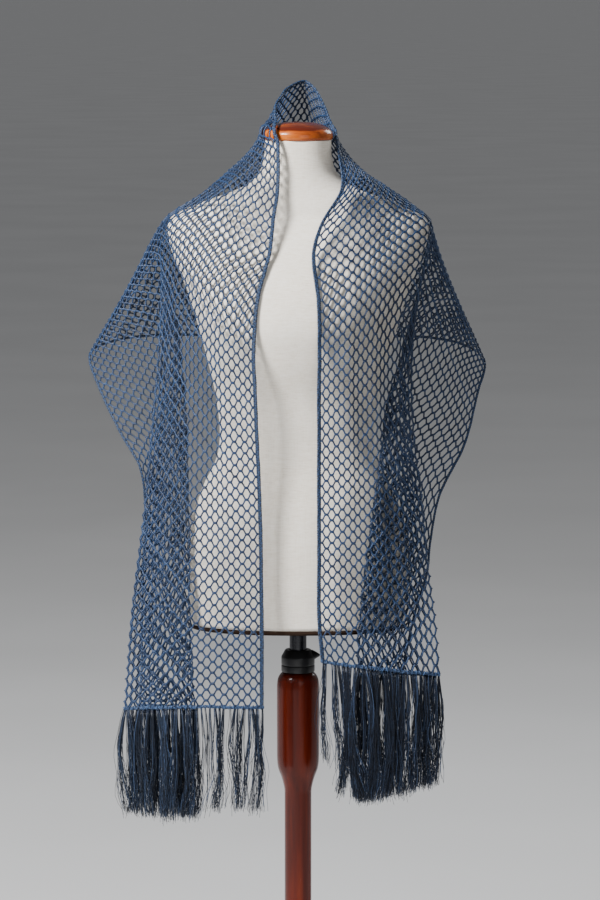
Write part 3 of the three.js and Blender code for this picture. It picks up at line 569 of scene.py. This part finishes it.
def fringe_piece(end, random):
    """The strands of one end, lock by lock. The order of its random draws gives the fringe its look."""
    paths, ups, radii, shades = [], [], [], []
    v_locks = (np.arange(LOCKS) + 0.5 + random.uniform(-LOCK_JITTER, LOCK_JITTER, LOCKS)) / LOCKS
    at, inward, down, across = hem_frame(end, v_locks, ROOT_DROP)
    length = hermite([row[0] for row in end.lengths], [[row[1]] for row in end.lengths], v_locks)[:, 0]
    t = np.linspace(0, 1, FRINGE_STEPS)[:, None]
    full = np.interp(v_locks, *zip(*end.fullness)) * random.uniform(*LOCK_FULLNESS, LOCKS)
    order = np.argsort(at[:, 0])
    clump = np.empty(LOCKS, int)
    clump[order] = np.cumsum(random.uniform(size=LOCKS) < CLUMP_CHANCE)
    clump_x = np.array([at[clump == c, 0].mean() for c in clump])
    middle_x = (at[:, 0].min() + at[:, 0].max()) / 2
    for n in range(LOCKS):
        side = at[n, 0] - end.parting_x
        aside = np.sign(side) * end.parting_width / 2 * math.exp(-abs(side) / end.parting_reach)
        aside += CLUMP_PULL * (clump_x[n] - at[n, 0]) + MIDDLE_PULL * (middle_x - at[n, 0])
        lean = np.array([aside + random.normal(0, LEAN_SPREAD[0]), random.normal(0, LEAN_SPREAD[1]), 0])
        bow = np.array([random.normal(0, BOW_SPREAD[0]), random.normal(0, BOW_SPREAD[1]), 0])
        curl = random.uniform(0, 2 * math.pi)
        for _ in range(round(STRANDS * full[n])):
            stray_strand = random.uniform() < STRAY_CHANCE
            reach = length[n] + random.normal(REACH_MEAN, REACH_SPREAD)
            if stray_strand:
                reach -= random.uniform(*STRAY_SHORTER)
            angle = random.uniform(0, 2 * math.pi)
            spread = abs(random.normal(0, OFF_SPREAD)) + OFF_LEAST
            loose = LOOSE_SPREAD if random.uniform() < LOOSE_CHANCE else 1.0
            off = across[n] * math.cos(angle) * min(spread * loose, OFF_MOST[0])
            off = off + inward[n] * math.sin(angle) * min(spread, OFF_MOST[1])
            wave = random.uniform(0, 2 * math.pi, 2)
            sway = random.normal(0, SWAY_SPREAD, 2)
            turns = random.uniform(*SWAY_TURNS)
            drift = np.array([random.normal(0, STRAY_DRIFT if stray_strand else DRIFT_SPREAD), 0, 0])
            path = at[n] + down[n] * (1 - t) + off * (0.3 + 0.7 * np.sin(math.pi * t * 0.8))
            path = path + lean * t ** 1.6 + bow * np.sin(math.pi * t) + drift * t ** 1.3
            ripple = sway[0] * np.sin(turns * t + wave[0]) + CURL * np.sin(CURL_TURNS * t + curl)
            path = path + across[n] * (ripple * np.minimum(1.6 * t, 1))
            path = path + inward[n] * (SWAY_DEPTH * sway[1] * np.sin(SWAY_DEPTH_TURNS * t + wave[1]) * t)
            path[:, 2] -= reach * t[:, 0]
            paths.append(path)
            ups.append(np.broadcast_to(inward[n], path.shape))
            radii.append(FRINGE_RADIUS * (1 - FRINGE_TAPER * t[:, 0]))
            # A painted glint: some strands are painted lighter towards their tips.
            glint = GLINT * (random.uniform() < GLINT_CHANCE)
            shades.append(STRAY_SHADE if stray_strand else random.uniform(0, 1) + glint * t[:, 0] ** 5)
    return tubes(end.node + "_strands", paths, ups, radii, FRINGE_SIDES, "form", shades=shades,
                 node=end.node, slot="fringe")


def knot_row(end):
    """The loops that tie each lock over the hem."""
    v = (np.arange(LOCKS) + 0.5) / LOCKS
    at, inward, down, across = hem_frame(end, v, KNOT_DROP)
    turn = np.linspace(0, 2 * math.pi, LOOP_STEPS)[:, None]
    slant = LOOP_SLANT * np.sin(3.7 * np.arange(LOCKS))
    tall = down * LOOP_REACH + across * slant[:, None]
    paths = [at[n] + inward[n] * LOOP_DEPTH * np.cos(turn) + tall[n] * np.sin(turn) for n in range(LOCKS)]
    ups = [np.broadcast_to(across[n], paths[n].shape) for n in range(LOCKS)]
    return tubes(end.node.replace("fringe", "knots"), paths, ups, [LOOP_RADIUS] * LOCKS, LOOP_SIDES, "form",
                 shades=np.linspace(0, 7, LOCKS) % 1, slot="net")


# ---- Materials -------------------------------------------------------------
class Nodes:
    """A material's node tree, with short calls for the nodes used here."""

    def __init__(self, name):
        self.material = bpy.data.materials.new(name)
        self.material.use_nodes = True
        self.tree = self.material.node_tree
        self.shader = self.tree.nodes["Principled BSDF"]

    def add(self, kind, **settings):
        node = self.tree.nodes.new(kind)
        for key, value in settings.items():
            setattr(node, key, value)
        return node

    def link(self, output, target):
        self.tree.links.new(output, target)

    def put(self, **values):
        for key, value in values.items():
            self.shader.inputs[key.replace("_", " ")].default_value = value

    def place(self, scale):
        """Object coordinates in metres, stretched by a scale for each axis."""
        mapping = self.add("ShaderNodeMapping")
        mapping.inputs["Scale"].default_value = scale
        self.link(self.add("ShaderNodeTexCoord").outputs["Object"], mapping.inputs["Vector"])
        return mapping.outputs["Vector"]

    def noise(self, vector, scale, detail=3.0, rough=0.5):
        node = self.add("ShaderNodeTexNoise")
        node.inputs["Scale"].default_value = scale
        node.inputs["Detail"].default_value = detail
        node.inputs["Roughness"].default_value = rough
        self.link(vector, node.inputs["Vector"])
        return node.outputs["Fac"]

    def ramp(self, factor, *stops):
        node = self.add("ShaderNodeValToRGB")
        elements = node.color_ramp.elements
        while len(elements) < len(stops):
            elements.new(0.5)
        for element, (place, color) in zip(elements, stops):
            element.position = place
            element.color = (*color, 1)
        self.link(factor, node.inputs["Fac"])
        return node.outputs["Color"]

    def math(self, operation, *values):
        node = self.add("ShaderNodeMath", operation=operation)
        for socket, value in zip(node.inputs, values):
            if isinstance(value, (int, float)):
                socket.default_value = value
            else:
                self.link(value, socket)
        return node.outputs["Value"]

    def color(self, output):
        self.link(output, self.shader.inputs["Base Color"])

    def rough(self, factor, low, high):
        node = self.add("ShaderNodeMapRange")
        node.inputs["To Min"].default_value = low
        node.inputs["To Max"].default_value = high
        self.link(factor, node.inputs["Value"])
        self.link(node.outputs["Result"], self.shader.inputs["Roughness"])

    def bump(self, height, distance, strength=1.0, under=None):
        node = self.add("ShaderNodeBump")
        node.inputs["Distance"].default_value = distance
        node.inputs["Strength"].default_value = strength
        self.link(height, node.inputs["Height"])
        if under is not None:
            self.link(under, node.inputs["Normal"])
        self.link(node.outputs["Normal"], self.shader.inputs["Normal"])
        return node.outputs["Normal"]


def yarn_material(name, dark, light, twist_mm, shade_share, roughness, mottle_and_sheen_scale=(210, 210, 210),
                  contrast=1.0):
    """Lustrous twisted yarn: ply lines from the uv map, painted darker in their grooves as shade, and a shade
    for each yarn.
    """
    m = Nodes(name)
    uv = m.add("ShaderNodeUVMap", uv_map="yarn")
    apart = m.add("ShaderNodeSeparateXYZ")
    m.link(uv.outputs["UV"], apart.inputs["Vector"])
    along = m.math("DIVIDE", apart.outputs["X"], twist_mm)
    around = m.math("MULTIPLY", apart.outputs["Y"], 2.0)
    turns = m.math("ADD", along, around)
    ply = m.math("ABSOLUTE", m.math("SINE", m.math("MULTIPLY", turns, math.pi)))
    shade = m.add("ShaderNodeAttribute", attribute_name="shade").outputs["Fac"]
    # Random mottle in the yarn's tone; drawn out along a yarn, as on the fringe, it paints sheen flecks.
    mottle_and_sheen = m.noise(m.place(mottle_and_sheen_scale), 1.0, 4.0, 0.6)
    mix = m.math("ADD", m.math("MULTIPLY", shade, shade_share), m.math("MULTIPLY", mottle_and_sheen, 1 - shade_share))
    # The colour is darkened along the grooves between the plies: painted shade.
    mix = m.math("MULTIPLY", mix, m.math("ADD", m.math("MULTIPLY", ply, 0.45), 0.55))
    mix = m.math("POWER", mix, contrast)
    m.color(m.ramp(mix, (0.12, dark), (0.72, light)))
    m.bump(ply, 0.00035, 0.8)
    m.put(Roughness=roughness, Sheen_Weight=0.06, Sheen_Roughness=0.35, Sheen_Tint=(0.6, 0.78, 1.0, 1.0),
          Specular_IOR_Level=0.4)
    return m.material


def linen_material():
    """Cream linen on the form, its thicker weft threads running round."""
    m = Nodes("linen")
    weft = m.noise(m.place((75, 75, 620)), 1.0, 3.0, 0.6)
    warp = m.noise(m.place((620, 620, 14)), 1.0, 2.0, 0.5)
    slub = m.noise(m.place((110, 110, 1100)), 1.0, 1.0, 0.4)
    soft = m.noise(m.place((1, 1, 1)), 9.0, 3.0, 0.5)
    weave = m.math("ADD", m.math("MULTIPLY", weft, 0.55), m.math("MULTIPLY", warp, 0.3))
    weave = m.math("ADD", weave, m.math("MULTIPLY", slub, 0.35))
    tone = m.math("ADD", m.math("MULTIPLY", weave, 0.75), m.math("MULTIPLY", soft, 0.25))
    dark, middle, light = (0.62, 0.555, 0.455), (0.81, 0.742, 0.635), (0.91, 0.855, 0.765)
    m.color(m.ramp(tone, (0.34, dark), (0.50, middle), (0.66, light)))
    m.bump(weave, 0.0006, 0.55)
    m.put(Roughness=0.92, Sheen_Weight=0.12, Sheen_Roughness=0.5, Specular_IOR_Level=0.25)
    return m.material


# How much darker the top of a turned piece is painted, as shade, and the height over which that painted shade
# comes in.
PAINTED_TOP_SHADE, PAINTED_TOP_SHADE_BLEND_M = 0.24, 0.003


def wood_material(name, dark, middle, light, grain_scale, coat, painted_shade_above=None, specular=0.35):
    """Varnished turned wood, its grain drawn out along one axis; above a given height its colour may be painted
    darker, as shade on a top.
    """
    m = Nodes(name)
    streaks = m.noise(m.place(grain_scale), 1.0, 5.0, 0.62)
    broad = m.noise(m.place(tuple(0.22 * axis for axis in grain_scale)), 1.0, 3.0, 0.5)
    grain = m.math("ADD", m.math("MULTIPLY", streaks, 0.55), m.math("MULTIPLY", broad, 0.45))
    # Above the given height the colour is painted darker: painted shade on the top.
    if painted_shade_above is not None:
        apart = m.add("ShaderNodeSeparateXYZ")
        m.link(m.place((1, 1, 1)), apart.inputs["Vector"])
        over = m.math("SUBTRACT", apart.outputs["Z"], painted_shade_above * MM)
        top_shade = m.math("MAXIMUM", m.math("DIVIDE", over, PAINTED_TOP_SHADE_BLEND_M), 0.0)
        top_shade = m.math("MINIMUM", top_shade, 1.0)
        grain = m.math("SUBTRACT", grain, m.math("MULTIPLY", top_shade, PAINTED_TOP_SHADE))
    m.color(m.ramp(grain, (0.34, dark), (0.5, middle), (0.66, light)))
    m.rough(streaks, 0.18, 0.32)
    m.bump(streaks, 0.00012, 0.5)
    m.put(Coat_Weight=coat, Coat_Roughness=0.08, Specular_IOR_Level=specular)
    return m.material


def metal_material():
    m = Nodes("dark_tube")
    brushed = m.noise(m.place((5, 5, 900)), 1.0, 2.0, 0.5)
    m.color(m.ramp(brushed, (0.3, (0.05, 0.05, 0.055)), (0.7, (0.12, 0.12, 0.13))))
    m.rough(brushed, 0.16, 0.28)
    m.put(Metallic=1.0)
    return m.material


def plastic_material():
    m = Nodes("black_plastic")
    fine = m.noise(m.place((1, 1, 1)), 900.0, 2.0, 0.5)
    m.color(m.ramp(fine, (0.3, (0.006, 0.006, 0.007)), (0.7, (0.016, 0.016, 0.018))))
    m.rough(fine, 0.3, 0.42)
    m.bump(fine, 0.00008, 0.4)
    return m.material


def board_material():
    m = Nodes("rim_board")
    plies = m.noise(m.place((12, 12, 700)), 1.0, 3.0, 0.6)
    m.color(m.ramp(plies, (0.35, (0.010, 0.005, 0.003)), (0.65, (0.036, 0.018, 0.010))))
    m.rough(plies, 0.7, 0.85)
    m.put(Specular_IOR_Level=0.15)
    return m.material


# ---- Form and stand --------------------------------------------------------
FORM_SIDES = 180
TORSO_BOTTOM, TORSO_TOP = 728.0, 1456.7
TORSO_LEVELS = np.concatenate([np.linspace(TORSO_BOTTOM, 1300, 110), np.linspace(1303, TORSO_TOP, 80)])
RIM_RINGS = ((721, 0.985), (721.6, 0.996), (724.5, 1.003), (727.2, 1.0), (727.7, 0.995))   # height, growth
POLE_RADIUS, GRIP_RADIUS, TUBE_RADIUS = 20.5, 32.2, 13.0
COLLAR_RADIUS, COLLAR_TOP = 25.5, 684.0
LEVER_HEIGHT = 675
CAP_BOTTOM, CAP_RADIUS = 1457.0, 52.5
# Above this height the cap's wood is painted darker, as shade on its top.
CAP_PAINTED_SHADE_FROM = CAP_BOTTOM + 14

# Turned profiles: (radius, height), from the axis at the bottom to the axis at the top.
CAP_PROFILE = (
    (0, CAP_BOTTOM), (51, CAP_BOTTOM), (CAP_RADIUS, CAP_BOTTOM + 4), (52.1, CAP_BOTTOM + 10),
    (49.5, CAP_BOTTOM + 14.5), (44.5, CAP_BOTTOM + 18.5), (36.5, CAP_BOTTOM + 22.5),
    (24.5, CAP_BOTTOM + 25.5), (0.5, CAP_BOTTOM + 27), (0, CAP_BOTTOM + 27),
)
TUBE_PROFILE = ((0, 370), (TUBE_RADIUS, 370), (TUBE_RADIUS, 850), (0, 850))
COLLAR_PROFILE = (
    (0, 650.3), (COLLAR_RADIUS, 650.3), (COLLAR_RADIUS, 660), (24.3, 661), (COLLAR_RADIUS, 662),
    (COLLAR_RADIUS, 673), (19.5, COLLAR_TOP), (13.6, COLLAR_TOP), (13.6, 670), (0, 670),
)
LEVER_PROFILE = ((0, 16), (8.5, 16), (8, 22), (5.2, 27.5), (1.6, 33), (0, 34))
POLE_PROFILE = (
    (0, 46.3), (POLE_RADIUS, 46.3), (POLE_RADIUS, 466), (POLE_RADIUS + 1.3, 474), (GRIP_RADIUS - 7, 487),
    (GRIP_RADIUS - 1.2, 501), (GRIP_RADIUS, 516), (GRIP_RADIUS, 630), (GRIP_RADIUS - 1.5, 641),
    (GRIP_RADIUS - 8, 650), (13.4, 650), (13.4, 640), (0, 640),
)
BASE_PROFILE = (
    (0, 0), (172, 0), (175, 3), (175, 12), (170, 18), (159, 21), (115, 26), (54, 29), (42, 36), (42, 42),
    (38, 46), (0, 46),
)


def squared(value):
    """A sine or cosine drawn out towards the corners of the form's cross-run."""
    return np.sign(value) * np.abs(value) ** (2 / FORM_POWER)


def form_rings(levels):
    """The form's cross-runs at these heights."""
    half, front, back = hermite([row.z for row in FORM_LEVELS], [row[1:] for row in FORM_LEVELS], levels).T
    turn = np.arange(FORM_SIDES) * (2 * math.pi / FORM_SIDES)
    c, s = np.cos(turn), np.sin(turn)
    x = half[:, None] * squared(c)
    y = np.where(s < 0, front[:, None], back[:, None]) * squared(s)
    return np.stack([x, y, np.broadcast_to(levels[:, None], x.shape)], 2)


def build_form():
    torso = loft("torso_linen", form_rings(TORSO_LEVELS), "form", node="torso", slot="linen")
    rim = form_rings(np.full(len(RIM_RINGS), TORSO_BOTTOM))
    for ring, (z, grow) in zip(rim, RIM_RINGS):
        ring[:, :2] *= grow
        ring[:, 2] = z
    board = loft("rim_board_edge", rim, "form", node="rim_board", slot="board")
    cap = lathe("neck_cap_turned", CAP_PROFILE, "form", fillet=1.6, node="neck_cap", slot="cap_wood")
    return torso, board, cap


def build_stand():
    tube = lathe("tube_steel", TUBE_PROFILE, "mast", fillet=1, node="tube", slot="tube_metal")
    collar = lathe("lock_collar_moulded", COLLAR_PROFILE, "stand", fillet=1.2,
                   node="lock_collar", slot="plastic")
    lever = lathe("lock_lever_moulded", LEVER_PROFILE, "stand", fillet=1.2, sides=32, axis="x",
                  centre=(0, 0, LEVER_HEIGHT), node="lock_lever", slot="plastic")
    pole = lathe("pole_turned", POLE_PROFILE, "stand", fillet=9, node="pole", slot="stand_wood")
    base = lathe("base_turned", BASE_PROFILE, "stand", fillet=4, sides=160, node="base", slot="stand_wood")
    return tube, collar, lever, pole, base


def dress(piece, material):
    piece.data.materials.clear()
    piece.data.materials.append(material)


def build_shawl():
    net = yarn_material("net_yarn", (0.0020, 0.0066, 0.024), (0.020, 0.053, 0.135), 3.2, 0.3, 0.42)
    edge = yarn_material("edge_yarn", (0.0018, 0.006, 0.021), (0.022, 0.058, 0.142), 3.0, 0.6, 0.42)
    hem = yarn_material("hem_yarn", (0.006, 0.015, 0.046), (0.055, 0.115, 0.245), 3.0, 0.5, 0.42)
    # On the fringe the mottle is drawn out along the strands and given more contrast: sparse painted sheen
    # flecks on dark yarn.
    fringe = yarn_material("fringe_yarn", (0.0012, 0.0032, 0.011), (0.070, 0.118, 0.240), 2.2, 0.6, 0.36,
                           (260, 260, 110), 2.6)
    random = np.random.default_rng(11)
    for end in ENDS:
        pieces = [(hem_piece(end), hem), (knot_row(end), hem), (fringe_piece(end, random), fringe)]
        for piece, material in pieces:
            dress(piece, material)
    for stretch, piece in net_pieces(random):
        dress(piece, net)
        bands = [selvedge(stretch, outer) for outer in (False, True)]
        for band in bands:
            dress(band, edge)


# ---- Camera, light and floor -----------------------------------------------
FLOOR_REACH_M = 1200.0


def build_camera():
    data = bpy.data.cameras.new("camera")
    data.sensor_fit = "VERTICAL"
    data.sensor_height = SENSOR_MM
    data.lens = SENSOR_MM * FOCAL_PX / IMAGE_HEIGHT_PX
    data.clip_end = CLIP_END_M
    camera = bpy.data.objects.new("camera", data)
    camera.location = CAMERA_AT
    camera.rotation_euler = (math.radians(90 + CAMERA_PITCH_DEG), 0, 0)
    scene.collection.objects.link(camera)
    scene.camera = camera


def area_light(name, at, aim, size, power, color=(1, 1, 1)):
    data = bpy.data.lights.new(name, "AREA")
    data.shape = "DISK"
    data.size = size
    data.energy = power
    data.color = color
    light = bpy.data.objects.new(name, data)
    light.location = at
    direction = np.subtract(aim, at)
    tilt = math.atan2(math.hypot(direction[0], direction[1]), -direction[2])
    turn = math.atan2(direction[1], direction[0]) - math.pi / 2
    light.rotation_euler = (tilt, 0, turn)
    scene.collection.objects.link(light)


def build_studio():
    world = bpy.data.worlds.new("studio")
    world.use_nodes = True
    background = world.node_tree.nodes["Background"]
    background.inputs["Color"].default_value = (0.80, 0.81, 0.83, 1)
    background.inputs["Strength"].default_value = 0.30
    scene.world = world
    area_light("key", (-2.6, -1.95, 3.6), (0, 0, 1.2), 1.2, 460)
    area_light("fill", (1.2, -3.4, 1.6), (0, 0, 1.0), 2.0, 12)
    area_light("back", (1.9, 2.2, 2.6), (0, 0, 1.1), 1.2, 30, (0.92, 0.96, 1.0))
    m = Nodes("floor")
    cloudy = m.noise(m.place((1, 1, 1)), 1.2, 2.0)
    m.color(m.ramp(cloudy, (0.3, (0.60, 0.60, 0.60)), (0.7, (0.64, 0.64, 0.64))))
    m.put(Roughness=0.85)
    far = FLOOR_REACH_M
    corners = [(-far, -far, 0), (far, -far, 0), (far, far, 0), (-far, far, 0)]
    mesh = bpy.data.meshes.new("floor")
    mesh.from_pydata(corners, [], [(0, 1, 2, 3)])
    floor = bpy.data.objects.new("floor", mesh)
    scene.collection.objects.link(floor)
    dress(floor, m.material)


build_camera()
build_studio()
torso, board, cap = build_form()
dress(torso, linen_material())
dress(board, board_material())
# The cap's top is painted darker, as shade.
dress(cap, wood_material("cap_wood", (0.080, 0.009, 0.002), (0.36, 0.070, 0.006), (0.58, 0.155, 0.014),
                         grain_scale=(14, 90, 90), coat=0.25, painted_shade_above=CAP_PAINTED_SHADE_FROM))
tube, collar, lever, pole, base = build_stand()
plastic = plastic_material()
mahogany = wood_material("mahogany", (0.050, 0.0042, 0.0010), (0.098, 0.0088, 0.0018), (0.165, 0.019, 0.003),
                         grain_scale=(90, 90, 5), coat=0.14, specular=0.2)
dress(tube, metal_material())
for piece in (collar, lever):
    dress(piece, plastic)
for piece in (pole, base):
    dress(piece, mahogany)
build_shawl()
